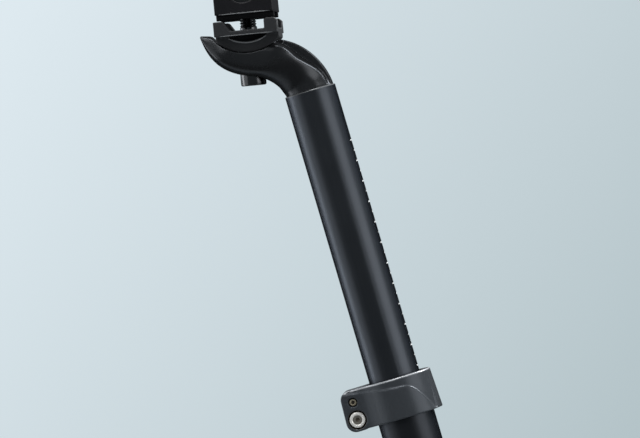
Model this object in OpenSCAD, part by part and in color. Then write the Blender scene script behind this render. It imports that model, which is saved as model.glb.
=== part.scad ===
// Telescopic suspension seatpost with a forged set-back head and a two-screw collar.
// Millimetres. Z runs up the post, X points forward on the bike, Y to the rider's left.
// The origin is on the post axis, level with the end of the frame's seat tube.

/* [Sliding tube] */
// outside diameter of the visible tube
shaft_d = 24.4; // [22:0.1:26]
// wall of the visible tube
shaft_wall = 1.9; // [1.2:0.1:2.5]
// height of the tube's upper rim
rim_z = 148.4; // [110:0.1:180]
// height of the tube's lower end
shaft_low = -77; // [-90:1:-65]

/* [Outer tube] */
// outside diameter, the size that the frame takes
post_d = 27.2; // [27.2:0.1:31.6]
// bore of the outer tube
post_bore = 25.6; // [25.4:0.1:27]
// height of the outer tube's lower end
post_low = -175; // [-220:1:-170]

/* [Suspension] */
// travel of the sliding tube
travel = 40; // [20:1:40]
// wire diameter of the coil spring
wire_d = 3.2; // [2.4:0.1:3.6]
// outside diameter of the coil spring
spring_d = 22.6; // [18:0.1:24]
// number of turns
turns = 8.5; // [6:0.5:10]

/* [Head] */
// half width of the head beside the saddle cradle
head_half = 19; // [15:0.5:22]
// half width of the raised spine along the front of the neck
spine_half = 6; // [4:0.5:9]
// radius of the concave cradle
cradle_r = 21.5; // [18:0.1:25]
// cradle centre behind the post axis
cradle_x = -17.5; // [-25:0.1:-10]
// cradle centre above the tube rim
cradle_up = 45.9; // [40:0.1:50]
// forward lean of the saddle rails from the square position
rail_lean = 11; // [0:0.5:20]

/* [Saddle clamp] */
// diameter of the saddle rails
rail_d = 7; // [7:0.1:10]
// distance between the two rails
rail_gap = 44; // [40:0.5:46]
// length of the lower cradle along the rails
rocker_len = 29.6; // [26:0.1:34]
// length of the upper clamp along the rails
clamp_len = 27.2; // [24:0.1:32]
// width of the clamp across the bike
clamp_wide = 57; // [55:0.5:62]
// clamp bolt thread diameter
bolt_d = 8; // [6:1:8]
// clamp bolt head diameter
bolt_head_d = 12; // [11:0.5:13]

/* [Collar] */
// outside diameter of the collar ring
collar_d = 34.2; // [33:0.1:36]
// height of the collar
collar_h = 19.2; // [16:0.1:24]
// top of the collar above the seat tube's end
collar_top = 8.2; // [7:0.1:10]
// outside diameter of the frame's seat tube
seat_tube_d = 28.6; // [28.6:0.1:35]
// reach of the collar's lug behind the post axis
lug_reach = 27.1; // [25:0.1:30]
// width of the slit through the lug
slit = 2.2; // [1.5:0.1:3]

/* [Hidden] */
$fn = 64;
shaft_r = shaft_d / 2;
shaft_in = shaft_r - shaft_wall;
post_r = post_d / 2;
bore_r = post_bore / 2;
lip_r = post_r - 0.25;
neck_r = shaft_r - 0.8;
collar_r = collar_d / 2;
collar_low = collar_top - collar_h;
rail_r = rail_d / 2;
rail_v = -6.3;
deck_v = -11;
ledge_v = -13.3;
seat_r = 28.5;
// pocket below the cradle for the washer and the bolt's head: half length, half width, floor of its front corners
pocket = [14, 7, -32];
bolt_r = bolt_d / 2;
nut_r = bolt_r + 2.9;
nut_v = 8.6;
lug_bolt = [-22.2, collar_top - 14.25];
lug_screw = [-21.7, collar_top - 5.7];
pin_z = -46;
spring_top = shaft_low - 3.05;
plate_z = shaft_low - 79;
run = 0.05;
eps = 0.01;

// point on a cubic curve with four control points
function curve(p, t) =
  pow(1 - t, 3) * p[0] + 3 * pow(1 - t, 2) * t * p[1] + 3 * (1 - t) * t * t * p[2] + t * t * t * p[3];
// smooth blend from 0 at a to 1 at b
function ease(a, b, x) = let (k = min(1, max(0, (x - a) / (b - a)))) k * k * (3 - 2 * k);
function mix(a, b, k) = a + (b - a) * k;

// side outline of the head, measured from the tube rim: belly and front, two curves each
belly_low = [[-neck_r, 0], [-12.2, 3.6], [-16.5, 11], [-22.5, 13.3]];
belly_high = [[-22.5, 13.3], [-31.5, 16.2], [-41.8, 22], [-41.8, 37.2]];
front_low = [[neck_r, 0], [11, 9.5], [5.2, 21.5], [-6, 26.7]];
front_high = [[-6, 26.7], [-15, 31], [-29, 33.5], [-41.4, 38]];
function belly(t) = t < 1 ? curve(belly_low, t) : curve(belly_high, t - 1);
function front(t) = t < 1 ? curve(front_low, t) : curve(front_high, t - 1);
// half width of the head along its length
function width(t) =
  mix(mix(neck_r, head_half, ease(0.15, 1.0, t)), head_half * 0.72, ease(1.55, 2.05, t));
// squareness of the section, round at the rim
function square(t) = mix(2, 4, ease(0.15, 1.0, t));
// height of the shoulder beside the spine, from -1 at the belly to 1 at the front
function shoulder(t) = mix(mix(0.8, 0.48, ease(0, 0.5, t)), 0.74, ease(0.5, 1, t));
// depth of the step from shoulder to spine
function step(t) = ease(0.0, 0.2, t) * (1 - ease(0.95, 1.1, t));
function oval(v, n) = pow(max(0, 1 - pow(abs(v), n)), 1 / n);

low_pts = 14;
high_pts = 8;
rings = 42;
// half of a section as [width, height] from the belly up to the front
function half_section(t) =
  let (n = square(t), s = shoulder(t), full = oval(s, n), w = width(t))
  let (spine = mix(full, min(full, spine_half / w), step(t)))
  concat(
    [for (i = [0:low_pts - 1])
      let (a = mix(-90, asin(s), i / (low_pts - 1)), v = i == 0 ? -1 : sin(a)) [w * oval(v, n), v]],
    [for (i = [0:high_pts - 1])
      let (k = i / (high_pts - 1), v = mix(s + 0.1 * (1 - s), 1, sin(90 * k)))
      let (base = (1 - step(t)) * oval(v, n), rib = step(t) * spine * oval(k, 2.6))
      [i == high_pts - 1 ? 0 : w * (base + rib), v]]
  );
function ring(t) =
  let (h = half_section(t), b = belly(t), f = front(t), m = (b + f) / 2, d = (f - b) / 2)
  let (n = len(h))
  concat(
    [for (i = [0:n - 1]) [m[0] + d[0] * h[i][1], h[i][0], m[1] + d[1] * h[i][1]]],
    [for (i = [n - 2:-1:1]) [m[0] + d[0] * h[i][1], -h[i][0], m[1] + d[1] * h[i][1]]]
  );

// smooth body of the head, swept from the rim to the tip of the horn
module head_sweep() {
  sections = [for (i = [0:rings - 1]) ring(2 * i / (rings - 1))];
  n = len(sections[0]);
  pts = [for (s = sections) for (p = s) p];
  sides = [for (i = [0:rings - 2]) for (j = [0:n - 1])
    let (a = i * n + j, b = i * n + (j + 1) % n, c = a + n, d = b + n)
    each [[a, b, c], [b, d, c]]];
  first = [[for (j = [n - 1:-1:0]) j]];
  last = [[for (j = [0:n - 1]) (rings - 1) * n + j]];
  polyhedron(pts, concat(sides, first, last), convexity = 8);
}

// saddle clamp frame: X along the rails, Z along the clamp bolt, origin at the cradle's centre
module in_clamp() {
  translate([cradle_x, 0, rim_z + cradle_up]) rotate([0, rail_lean, 0]) children();
}

// cylinder across the bike
module across(r, half) {
  rotate([90, 0, 0]) cylinder(r = r, h = 2 * half, center = true, $fn = 96);
}

// ring standing on z0
module tube(r_out, r_in, z0, z1) {
  translate([0, 0, z0]) difference() {
    cylinder(r = r_out, h = z1 - z0);
    translate([0, 0, -1]) cylinder(r = r_in, h = z1 - z0 + 2);
  }
}

// outer tube, clamped in the frame; its upper end is turned down a little under the collar's lip
module lower_tube() {
  color("#26282b") difference() {
    union() {
      tube(post_r, bore_r, post_low, 0);
      tube(lip_r, bore_r, -eps, 0.5);
    }
    for (s = [-1, 1])
      translate([0, s * post_r, pin_z]) rotate([90, 0, 0]) cylinder(r = 2.5, h = 6, center = true);
  }
}

// flanged plain bearing in the top of the outer tube
module guide_bush() {
  color("#3b3a36") union() {
    tube(bore_r - 0.02, shaft_r + run, -24, 0.5);
    tube(lip_r, shaft_r + run, 0.5, 2.5);
  }
}

// rubber wiper with an upward lip
module wiper_seal() {
  color("#17181a") rotate_extrude() polygon([
    [shaft_r + 0.3, 2.5], [lip_r - 0.47, 2.5], [lip_r - 0.47, 6.3], [shaft_r + 0.45, 6.3],
    [shaft_r + 0.08, 5.6], [shaft_r + 0.08, 5.1], [shaft_r + 0.3, 4.4]
  ]);
}

// thin pressed cap over the wiper
module seal_cap() {
  color("#2c2e31") rotate_extrude() polygon([
    [lip_r - 0.45, 2.5], [lip_r, 2.5], [lip_r, 7.1], [lip_r - 0.3, 7.4],
    [shaft_r + 0.35, 7.4], [shaft_r + 0.35, 6.4], [lip_r - 0.45, 6.4]
  ]);
}

// brass pin through the outer tube, running in the sliding tube's groove
module guide_pin(side) {
  color("#b08d57") intersection() {
    translate([0, side * (post_r - 1), pin_z]) rotate([90, 0, 0]) cylinder(r = 2.48, h = 2.9, center = true);
    translate([0, 0, pin_z - 4]) cylinder(r = post_r - 0.2, h = 8);
  }
}
module guide_pin_left() {
  guide_pin(1);
}
module guide_pin_right() {
  guide_pin(-1);
}

// threaded ring fixed in the lower end of the outer tube
module bottom_ring() {
  color("#8d9094") tube(bore_r - 0.02, 10.5, post_low, plate_z - 5);
}

// coil spring between the plate and the foot plug, with flattened pitch at both ends
module main_spring() {
  d = wire_d;
  mean = (spring_d - d) / 2;
  low = plate_z + d / 2;
  high = spring_top - d / 2;
  steps = 18;
  sides = 8;
  total = floor(turns * steps);
  function height(i) =
    let (k = i / steps, live = turns - 2, q = min(1, max(0, (k - 1) / live)))
    let (slack = high - low - 2 * 1.15 * d)
    low + 1.15 * d * (min(1, k) + max(0, k - turns + 1)) + slack * q;
  echo(least_gap = min([for (i = [0:total - steps]) height(i + steps) - height(i) - d]));
  pts = [for (i = [0:total]) for (j = [0:sides - 1])
    let (a = 360 * i / steps, b = 360 * j / sides, r = mean + d / 2 * cos(b))
    [r * cos(a), r * sin(a), height(i) + d / 2 * sin(b) * 0.995]];
  skin = [for (i = [0:total - 1]) for (j = [0:sides - 1])
    let (a = i * sides + j, b = i * sides + (j + 1) % sides, c = a + sides, e = b + sides)
    each [[a, b, c], [b, e, c]]];
  first = [[for (j = [sides - 1:-1:0]) j]];
  last = [[for (j = [0:sides - 1]) total * sides + j]];
  color("#9aa0a6") polyhedron(pts, concat(skin, first, last), convexity = 10);
}

// plate that carries the spring and rides on the preload plug
module spring_plate() {
  color("#8d9094") union() {
    translate([0, 0, plate_z - 3]) cylinder(r = bore_r - 0.4, h = 3);
    translate([0, 0, plate_z]) cylinder(r = 4, h = 6);
  }
}

// elastomer that stops the foot plug at full travel
module bump_stop() {
  color("#3a6a8c") rotate_extrude() polygon([
    [4.05, plate_z], [6.8, plate_z], [6.8, plate_z + 8], [5.9, plate_z + 11], [6.8, plate_z + 14],
    [6.8, plate_z + 21], [5, plate_z + 26], [0, plate_z + 26], [0, plate_z + 6.1], [4.05, plate_z + 6.1]
  ]);
}

// threaded plug turned from below with a hex key
module preload_plug() {
  color("#b9bcc0") difference() {
    translate([0, 0, post_low + 0.6]) cylinder(r = 10.45, h = plate_z - 3 - post_low - 0.6);
    translate([0, 0, post_low]) cylinder(r = 8 / sqrt(3), h = 8.6, $fn = 6);
    translate([0, 0, plate_z - 5]) tube(11, 9.2, 0, 1.9);
  }
}

// ring in the plug's groove that keeps it from working loose
module plug_o_ring() {
  color("#17181a") rotate_extrude() translate([9.22 + 0.9, plate_z - 4.05]) circle(r = 0.88, $fn = 24);
}

// visible sliding tube with two hidden grooves for the guide pins
module shaft_tube() {
  color("#2b2d31") difference() {
    rotate_extrude($fn = 96) polygon([
      [shaft_in, shaft_low], [shaft_r - 0.4, shaft_low], [shaft_r, shaft_low + 0.4],
      [shaft_r, shaft_low + 4], [shaft_r - 0.5, shaft_low + 4], [shaft_r - 0.5, shaft_low + 22],
      [shaft_r, shaft_low + 22], [shaft_r, rim_z - 0.5], [shaft_r - 0.5, rim_z], [shaft_in, rim_z]
    ]);
    for (s = [-1, 1])
      translate([0, s * (shaft_r + 1.1), 0]) {
        translate([-2.65, -2.25, pin_z]) cube([5.3, 4.5, travel]);
        for (z = [pin_z, pin_z + travel])
          translate([0, 0, z]) rotate([90, 0, 0]) cylinder(r = 2.65, h = 4.5, center = true);
      }
  }
}

// forged head: bent neck, raised spine, concave cradle and rear horn
module seat_head() {
  color("#141517") union() {
    difference() {
      translate([0, 0, rim_z]) head_sweep();
      in_clamp() {
        across(cradle_r, 40);
        difference() {
          translate([-pocket[0], -pocket[1], pocket[2]]) cube([2 * pocket[0], 2 * pocket[1], 14]);
          across(seat_r, 20);
        }
        translate([-pocket[0], -pocket[1], -50]) cube([pocket[0] + 6, 2 * pocket[1], 50.1 + pocket[2]]);
        translate([6, 0, -50]) cylinder(r = pocket[1], h = 50.1 + pocket[2]);
        translate([0, 0, -28]) cube([12, 2 * bolt_r + 0.8, 20], center = true);
        for (s = [-1, 1])
          translate([s * 6, 0, -38]) cylinder(r = bolt_r + 0.4, h = 20);
      }
    }
    translate([0, 0, rim_z - 38]) cylinder(r = shaft_in - 0.02, h = 38.2);
  }
}

// split bush on the lower end of the sliding tube
module lower_bush() {
  color("#3b3a36") tube(bore_r - 0.06, shaft_r - 0.48, shaft_low + 4.05, shaft_low + 21.95);
}

// rubber ring that meets the guide pins at full extension
module top_out_ring() {
  color("#17181a") tube(bore_r - 0.1, shaft_r + 0.02, shaft_low + 22, pin_z - 2.56);
}

// plug in the lower end of the sliding tube, pushed by the spring
module foot_plug() {
  color("#8d9094") union() {
    translate([0, 0, shaft_low]) cylinder(r = shaft_in - 0.02, h = 17);
    translate([0, 0, shaft_low - 3]) cylinder(r = shaft_r - 0.1, h = 3 + eps);
  }
}

// plan of the collar, grown by g: the lug leaves the ring in a smooth curve and ends almost parallel
module collar_plan(g) {
  y0 = sqrt(collar_r * collar_r - 64);
  bend = [[-8, y0], [-12, y0 - 2.12], [-15, 9.7], [-19, 9.2]];
  flank = concat([[0, y0]], [for (i = [0:8]) curve(bend, i / 8)], [[-lug_reach, 8.3]]);
  n = len(flank) - 1;
  circle(r = collar_r + g, $fn = 96);
  polygon(concat(
    [for (p = flank) p + [0, g]],
    [for (k = [n:-1:0]) [flank[k][0], -flank[k][1] - g]]
  ));
}

// side view of the collar with rounded corners on the lug
module collar_side() {
  r = 4.2;
  polygon([
    [-lug_reach + r, collar_low], [30, collar_low], [30, collar_top], [-lug_reach + r, collar_top]
  ]);
  translate([-lug_reach, collar_low + r]) square([r + 1, collar_h - 2 * r]);
  for (z = [collar_low + r, collar_top - r])
    translate([-lug_reach + r, z]) circle(r = r);
}

// lower panel of the collar's side, bounded by a sweeping line
module collar_sweep() {
  line = [[4, 3.6], [9, 3], [11.5, -3], [15.8, collar_low - 0.6]];
  polygon(concat(
    [[-lug_reach - 1, 7.2], [-16, 5.9], [-5, 4.1]],
    [for (i = [0:10]) curve(line, i / 10)],
    [[-lug_reach - 1, collar_low - 0.6]]
  ));
}

// split collar: the lower bore closes the seat tube, the lip closes on the post
module seat_collar() {
  color("#4b5056") difference() {
    intersection() {
      union() {
        translate([0, 0, collar_low]) linear_extrude(collar_h) collar_plan(0);
        intersection() {
          translate([0, 0, collar_low]) linear_extrude(collar_h - 0.6) collar_plan(0.7);
          rotate([90, 0, 0]) linear_extrude(60, center = true) collar_sweep();
        }
      }
      rotate([90, 0, 0]) linear_extrude(60, center = true) collar_side();
    }
    translate([0, 0, collar_low - 1]) cylinder(r = post_r + run, h = collar_h + 2, $fn = 96);
    translate([0, 0, collar_low - 1]) cylinder(r = seat_tube_d / 2 + 0.1, h = 1 - collar_low, $fn = 96);
    translate([-40, -slit / 2, collar_low - 1]) cube([30, slit, collar_h + 2]);
    translate([lug_bolt[0], 0, lug_bolt[1]]) rotate([90, 0, 0]) {
      cylinder(r = 2.6, h = 40, center = true);
      translate([0, 0, 5.2]) cylinder(r = 4.1, h = 12);
      translate([0, 0, -17.2]) cylinder(r = 4.1, h = 12);
    }
    translate([lug_screw[0], 0, lug_screw[1]]) rotate([90, 0, 0]) {
      cylinder(r = 1.05, h = 14, center = true);
      translate([0, 0, -slit / 2]) cylinder(r = 1.55, h = 12);
      translate([0, 0, 6.4]) cylinder(r = 2.15, h = 12);
    }
  }
}

// socket screw across the collar's lug
module collar_bolt() {
  color("#c9c7c2") translate([lug_bolt[0], 0, lug_bolt[1]]) rotate([90, 0, 0]) difference() {
    union() {
      translate([0, 0, -9]) cylinder(r = 2.5, h = 14.3);
      translate([0, 0, 5.22]) cylinder(r = 3.65, h = 3.7);
      translate([0, 0, 8.9]) cylinder(r1 = 3.65, r2 = 3.25, h = 0.5);
    }
    translate([0, 0, 7]) cylinder(r = 4 / sqrt(3), h = 6, $fn = 6);
  }
}

// round nut on the far side of the lug
module collar_nut() {
  color("#b9bcc0") translate([lug_bolt[0], 0, lug_bolt[1]]) rotate([90, 0, 0]) difference() {
    translate([0, 0, -9.2]) cylinder(r = 4.05, h = 3.98);
    translate([0, 0, -12]) cylinder(r = 2.52, h = 12);
  }
}

// small screw that closes the collar's lip
module lip_screw() {
  color("#6b5f4a") translate([lug_screw[0], 0, lug_screw[1]]) rotate([90, 0, 0]) difference() {
    union() {
      translate([0, 0, -6.6]) cylinder(r = 1.03, h = 13.02);
      translate([0, 0, 6.42]) cylinder(r = 1.6, h = 1.3);
    }
    translate([0, 0, 7]) cylinder(r = 1.5 / sqrt(3), h = 4, $fn = 6);
  }
}

// side view of the lower cradle above its rounded belly
module rocker_side() {
  h = rocker_len / 2;
  polygon([
    [-h, ledge_v], [h, ledge_v], [h, rail_v - 1.2], [h - 1.2, rail_v], [9.6, rail_v],
    [8.8, rail_v - 0.8], [8.8, deck_v], [-7.2, deck_v], [-8.4, -9], [-10.2, rail_v], [-h, rail_v]
  ]);
}

// lower cradle that rocks in the head and carries the rails from below
module rocker() {
  h = rocker_len / 2;
  color("#3c3f43") in_clamp() difference() {
    union() {
      rotate([90, 0, 0]) linear_extrude(clamp_wide, center = true) rocker_side();
      intersection() {
        across(cradle_r - run, head_half - 1.5);
        translate([-h, -30, -cradle_r - 1]) cube([2 * h, 60, cradle_r + 1 + ledge_v + eps]);
      }
    }
    for (s = [-1, 1]) {
      translate([-30, s * rail_gap / 2, rail_v]) rotate([0, 90, 0]) cylinder(r = rail_r + 0.05, h = 60);
      intersection() {
        translate([0, s * head_half, 0]) across(16.5, 8);
        translate([-8.7, -40, -20]) cube([17.4, 80, 20 + ledge_v]);
      }
    }
    translate([0, 0, -30]) cylinder(r = bolt_r + 0.15, h = 40);
    translate([-20, -15, deck_v]) cube([40, 30, 20]);
  }
}

// washer under the head, curved to follow the cradle's centre
module slot_washer() {
  color("#8d9094") in_clamp() difference() {
    translate([-7, -6.4, -31]) cube([14, 12.8, 8]);
    across(seat_r + run, 10);
    translate([0, 0, -40]) cylinder(r = bolt_r + 0.15, h = 30);
  }
}

// clamp bolt driven from below
module clamp_bolt() {
  color("#1c1d1f") in_clamp() difference() {
    union() {
      translate([0, 0, -31.5]) cylinder(r = bolt_r, h = 48.5);
      translate([0, 0, -36.9]) cylinder(r = bolt_head_d / 2, h = 5.85);
    }
    translate([0, 0, -38]) cylinder(r = 6 / sqrt(3), h = 4.6, $fn = 6);
  }
}

// side view of the upper clamp
module upper_side() {
  h = clamp_len / 2;
  polygon([
    [-h, -3.3], [h, -3.3], [h, 4.2], [h - 0.6, 5.8], [h - 2, 7], [h - 4, nut_v - 0.8],
    [4 - h, nut_v - 0.8], [2 - h, 7], [0.6 - h, 5.8], [-h, 4.2]
  ]);
}

// upper clamp: a bridge over both rails with a trough for the nut
module upper_clamp() {
  color("#1b1c1e") in_clamp() difference() {
    union() {
      rotate([90, 0, 0]) linear_extrude(clamp_wide, center = true) upper_side();
      for (s = [-1, 1])
        translate([-clamp_len / 2, s * 16.8 - 1.8, rail_v + 0.5]) cube([clamp_len, 3.6, 5]);
    }
    for (s = [-1, 1])
      translate([-30, s * rail_gap / 2, rail_v]) rotate([0, 90, 0]) cylinder(r = rail_r + 0.05, h = 60);
    translate([0, 0, nut_v]) across(nut_r + 0.06, 40);
    translate([0, 0, -20]) cylinder(r = bolt_r + 0.3, h = 40);
  }
}

// round nut lying across the upper clamp
module barrel_nut() {
  color("#26282b") in_clamp() difference() {
    translate([0, 0, nut_v]) across(nut_r, 21);
    cylinder(r = bolt_r + 0.05, h = 30);
  }
}

lower_tube();
guide_bush();
wiper_seal();
seal_cap();
guide_pin_left();
guide_pin_right();
bottom_ring();
main_spring();
spring_plate();
bump_stop();
preload_plug();
plug_o_ring();
shaft_tube();
seat_head();
lower_bush();
top_out_ring();
foot_plug();
seat_collar();
collar_bolt();
collar_nut();
lip_screw();
rocker();
slot_washer();
clamp_bolt();
upper_clamp();
barrel_nut();
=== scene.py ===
"""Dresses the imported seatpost: finishes, smooth forged head, eased edges, printed scale, studio."""
import logging
from dataclasses import dataclass, field
from enum import Enum
from math import asin, copysign, cos, hypot, pi, radians, sin, sqrt
from typing import Callable, Dict, List, Optional, Sequence, Tuple, Union

import bmesh
import bpy
from mathutils import Matrix, Vector


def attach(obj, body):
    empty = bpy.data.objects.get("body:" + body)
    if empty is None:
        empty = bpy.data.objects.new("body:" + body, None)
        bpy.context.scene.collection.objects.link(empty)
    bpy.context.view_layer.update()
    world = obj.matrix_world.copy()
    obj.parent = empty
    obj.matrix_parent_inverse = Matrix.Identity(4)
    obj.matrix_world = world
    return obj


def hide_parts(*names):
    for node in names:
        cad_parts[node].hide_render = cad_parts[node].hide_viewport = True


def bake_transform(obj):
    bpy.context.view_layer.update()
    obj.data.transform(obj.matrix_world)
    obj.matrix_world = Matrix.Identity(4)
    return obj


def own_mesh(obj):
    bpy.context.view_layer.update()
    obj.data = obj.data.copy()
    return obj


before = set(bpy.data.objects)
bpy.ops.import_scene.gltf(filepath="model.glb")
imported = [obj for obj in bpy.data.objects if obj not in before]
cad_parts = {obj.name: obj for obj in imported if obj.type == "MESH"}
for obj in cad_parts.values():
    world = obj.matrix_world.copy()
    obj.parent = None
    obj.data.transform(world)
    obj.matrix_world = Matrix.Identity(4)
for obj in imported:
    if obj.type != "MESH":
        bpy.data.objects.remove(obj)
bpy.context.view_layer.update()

LOG = logging.getLogger("seatpost")
MM = 0.001
TURN = 2 * pi
BOTH_WAYS = (-1.0, 1.0)
ROUND = 96  # sides of a large circle
TOUCH = 0.01  # millimetres, counts as level
WELD = 2e-6  # metres, joins points
SLIVER = 1e-6  # metres, drops edges
FLAT = radians(0.6)  # bend within a flat face
Point = Tuple[float, float]
Spot = Tuple[float, float, float]
Path = Tuple[Point, ...]
Colour = Spot
Obj, Node, Tree = bpy.types.Object, bpy.types.Node, bpy.types.NodeTree
Socket = bpy.types.NodeSocket
BMesh = bmesh.types.BMesh
Value = Union[Socket, float, Sequence[float]]
Fill = Callable[[BMesh], object]


class Texture(Enum):
    """Kinds of fine surface, by the grain's stretch across and along the post."""

    EVEN = (1.0, 1.0)
    BRUSHED = (1.0, 0.02)
    TURNED = (0.02, 1.0)


def opaque(colour: Sequence[float]) -> Tuple[float, ...]:
    """Colour with full alpha."""
    return (*colour, 1.0)


def grey(level: float) -> Tuple[float, ...]:
    """Opaque grey of one level."""
    return (level, level, level, 1.0)


class Nodes:
    """Short ways to wire one shader tree."""

    def __init__(self, tree: Tree) -> None:
        """Keeps the tree."""
        self.tree = tree

    def skin(self) -> Node:
        """The tree's Principled shader."""
        return self.tree.nodes["Principled BSDF"]

    def fill(self, node: Node, values: Union[Dict[str, Value], Sequence[Value]]) -> Node:
        """Feeds inputs of a node by their names, or in their order.

        Args:
            node: the node.
            values: what goes into its inputs; an output of a node is linked.

        Returns:
            The same node.
        """
        pairs = values.items() if isinstance(values, dict) else enumerate(values)
        for key, value in pairs:
            if isinstance(value, Socket):
                self.tree.links.new(value, node.inputs[key])
            else:
                node.inputs[key].default_value = value
        return node

    def add(self, kind: str, **settings: object) -> Node:
        """Adds a node.

        Args:
            kind: type of the node after its common prefix.
            settings: properties of the node.

        Returns:
            The new node.
        """
        node = self.tree.nodes.new("ShaderNode" + kind)
        for key, value in settings.items():
            setattr(node, key, value)
        return node

    def math(self, operation: str, *values: Value, clamp: bool = False) -> Socket:
        """Result of a Math node."""
        return self.fill(self.add("Math", operation=operation, use_clamp=clamp), values).outputs[0]

    def vector(self, operation: str, *values: Value, output: str = "Vector") -> Socket:
        """Result of a Vector Math node."""
        return self.fill(self.add("VectorMath", operation=operation), values).outputs[output]

    def dot(self, ray: Socket, axis: Sequence[float]) -> Socket:
        """Share of a direction along an axis."""
        return self.vector("DOT_PRODUCT", ray, axis, output="Value")

    def noise(self, place: Socket, scale: Value, detail: float) -> Socket:
        """Noise over a place, from 0 to 1."""
        values = {"Vector": place, "Scale": scale, "Detail": detail}
        return self.fill(self.add("TexNoise"), values).outputs["Fac"]

    def spread(self, value: Socket, given: Point, wanted: Point = (0.0, 1.0),
               curve: str = "LINEAR") -> Socket:
        """Maps one range to another.

        Args:
            value: what is mapped.
            given: range of the value.
            wanted: range of the result.
            curve: kind of blend between its ends.

        Returns:
            The mapped value.
        """
        node = self.add("MapRange", interpolation_type=curve)
        return self.fill(node, (value, *given, *wanted)).outputs["Result"]

    def blend(self, factor: Socket, first: Value, second: Value) -> Socket:
        """Mix of two colours."""
        values = {"Factor": factor, "A": first, "B": second}
        return self.fill(self.add("Mix", data_type="RGBA"), values).outputs["Result"]

    def ramp(self, value: Socket, stops: Sequence[Point]) -> Socket:
        """Grey that runs through stops.

        Args:
            value: place on the ramp.
            stops: positions with their levels.

        Returns:
            The grey as a colour.
        """
        node = self.fill(self.add("ValToRGB"), {"Fac": value})
        made = node.color_ramp.elements
        for stop, (spot, level) in zip((made[0], made[1]), (stops[0], stops[-1])):
            stop.position, stop.color = spot, grey(level)
        for spot, level in stops[1:-1]:
            made.new(spot).color = grey(level)
        return node.outputs["Color"]

    def glow(self, colour: Value, strength: Value = 1.0) -> Socket:
        """Background light of a world."""
        values = {"Color": colour, "Strength": strength}
        return self.fill(self.add("Background"), values).outputs[0]

    def either(self, factor: Socket, first: Socket, second: Socket) -> Socket:
        """Mix of two shaders."""
        return self.fill(self.add("MixShader"), (factor, first, second)).outputs[0]


class Groups:
    """Shader node groups that the finishes share."""

    fine_detail: float = 3.0
    broad: Point = (38.0, 4.0)
    patches: Point = (55.0, 5.0)

    @staticmethod
    def start(name: str, inputs: Dict[str, float], output: Sequence[str]) -> Nodes:
        """Makes an empty group with float sockets.

        Args:
            name: name of the group.
            inputs: input names with their default values.
            output: output names.

        Returns:
            The tree with its input and output nodes.
        """
        tree = bpy.data.node_groups.new(name, "ShaderNodeTree")
        for way, labels in (("INPUT", inputs), ("OUTPUT", output)):
            for label in labels:
                socket = tree.interface.new_socket(label, in_out=way, socket_type="NodeSocketFloat")
                if way == "INPUT":
                    socket.default_value = inputs[label]
            tree.nodes.new("NodeGroup" + way.title()).name = way
        return Nodes(tree)

    @classmethod
    def grain(cls) -> Tree:
        """Fine grain, stretched across or along the post.

        Returns:
            Group with a height and a mask.
        """
        name = "fine_grain"
        if name not in bpy.data.node_groups:
            n = cls.start(name, {"Scale": 400.0, "Across": 1.0, "Along": 1.0}, ("Height", "Mask"))
            scale, across, along = n.tree.nodes["INPUT"].outputs[:3]
            place = n.add("TexCoord").outputs["Object"]
            stretch = n.fill(n.add("CombineXYZ"), (across, across, along)).outputs[0]
            fine = n.noise(n.vector("MULTIPLY", place, stretch), scale, cls.fine_detail)
            n.fill(n.tree.nodes["OUTPUT"], (fine, n.noise(place, *cls.broad)))
        return bpy.data.node_groups[name]

    @classmethod
    def handling(cls) -> Tree:
        """Soft patches where hands have rubbed the finish.

        Returns:
            Group that puts out a roughness.
        """
        name = "handling_marks"
        if name not in bpy.data.node_groups:
            n = cls.start(name, {"Rough": 0.4, "Spread": 0.08}, ("Roughness",))
            rough, spread = n.tree.nodes["INPUT"].outputs[:2]
            patches = n.noise(n.add("TexCoord").outputs["Object"], *cls.patches)
            centred = n.math("SUBTRACT", patches, 0.5)
            result = n.math("MULTIPLY_ADD", centred, spread, rough, clamp=True)
            n.fill(n.tree.nodes["OUTPUT"], (result,))
        return bpy.data.node_groups[name]


@dataclass(frozen=True)
class Finish:
    """One surface finish and how to make its material."""

    name: str
    colour: Colour
    shade: Colour
    rough: float
    metal: float = 0.0
    coat: float = 0.0
    coat_rough: float = 0.1
    spread: float = 0.1
    scale: float = 1500.0
    bump: float = 0.05
    bump_deep: float = 0.1
    texture: Texture = Texture.EVEN
    specular: float = 0.5
    edge: float = 1.0

    def material(self) -> bpy.types.Material:
        """Builds the material once.

        Returns:
            The finish as a node material.
        """
        label = self.name + "_finish"
        if label in bpy.data.materials:
            return bpy.data.materials[label]
        mat = bpy.data.materials.new(label)
        mat.use_nodes = True
        n = Nodes(mat.node_tree)
        across, along = self.texture.value
        grain = n.fill(n.add("Group", node_tree=Groups.grain()),
                       (self.scale, across, along)).outputs
        marks = n.fill(n.add("Group", node_tree=Groups.handling()),
                       (self.rough, self.spread)).outputs
        bump = n.fill(n.add("Bump"), {"Strength": self.bump, "Distance": self.bump_deep * MM,
                                      "Height": grain["Height"]}).outputs
        n.fill(n.skin(), {
            "Base Color": n.blend(grain["Mask"], opaque(self.colour), opaque(self.shade)),
            "Roughness": marks["Roughness"], "Metallic": self.metal, "Normal": bump["Normal"],
            "Coat Weight": self.coat, "Coat Roughness": self.coat_rough,
            "Specular IOR Level": self.specular, "Specular Tint": grey(self.edge)})
        return mat


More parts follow.
